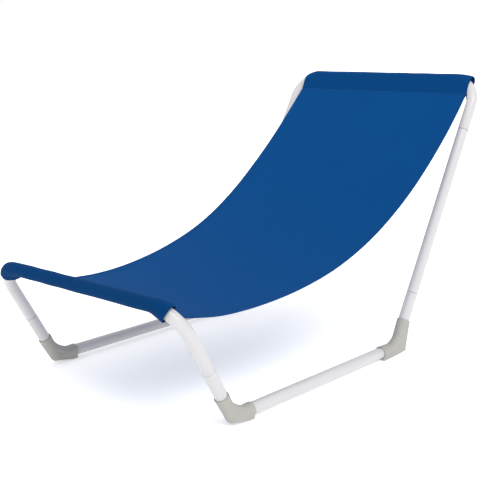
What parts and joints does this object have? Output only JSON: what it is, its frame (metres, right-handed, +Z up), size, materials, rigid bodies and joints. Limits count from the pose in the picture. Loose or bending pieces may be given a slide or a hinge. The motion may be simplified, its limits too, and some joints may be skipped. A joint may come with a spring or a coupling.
{
  "type": "low beach chair",
  "caption": "Low sling beach chair: tubular frame of plug-together rails, legs and back posts with angled plastic elbows for feet, and one fabric sling from front bar to top bar.",
  "frame": {"origin": "on the floor, midway between the two side frames and midway between the front bar and the top bar", "axes": "+Z up, the sitter faces -Y, +X is the sitter's left"},
  "size_m": [0.5646, 1.0288, 0.6084],
  "materials": {
    "frame_paint": "satin white powder coat on round tube",
    "elbow_plastic": "matte moulded plastic",
    "sling_fabric": "plain-woven synthetic cloth, slight sheen"
  },
  "bodies": {
    "side_frames": {"left_rail": "frame_paint", "left_leg_stub": "frame_paint", "left_post_stub": "frame_paint", "left_front_elbow": "elbow_plastic", "left_rear_elbow": "elbow_plastic", "right_rail": "frame_paint", "right_leg_stub": "frame_paint", "right_post_stub": "frame_paint", "right_front_elbow": "elbow_plastic", "right_rear_elbow": "elbow_plastic", "sling_panel": "sling_fabric"},
    "front_hoop": {"front_hoop": "frame_paint", "front_sleeve": "sling_fabric"},
    "top_hoop": {"top_hoop": "frame_paint", "top_sleeve": "sling_fabric"},
    "post_tubes": {"left_post": "frame_paint", "right_post": "frame_paint"}
  },
  "joints": [
    {"name": "front_hoop_pull", "type": "slide", "parent": "side_frames", "child": "front_hoop", "axis": [0, -0.4939, 0.8695], "range_m": [0, 0.045]},
    {"name": "top_hoop_pull", "type": "slide", "parent": "side_frames", "child": "top_hoop", "axis": [0, 0.4939, 0.8695], "range_m": [0, 0.09]},
    {"name": "post_tubes_pull", "type": "slide", "parent": "side_frames", "child": "post_tubes", "axis": [0, 0.4939, 0.8695], "range_m": [0, 0.045]}
  ],
  "couplings": [
    {"joint": "post_tubes_pull", "follows": "top_hoop_pull", "ratio": 0.5}
  ]
}
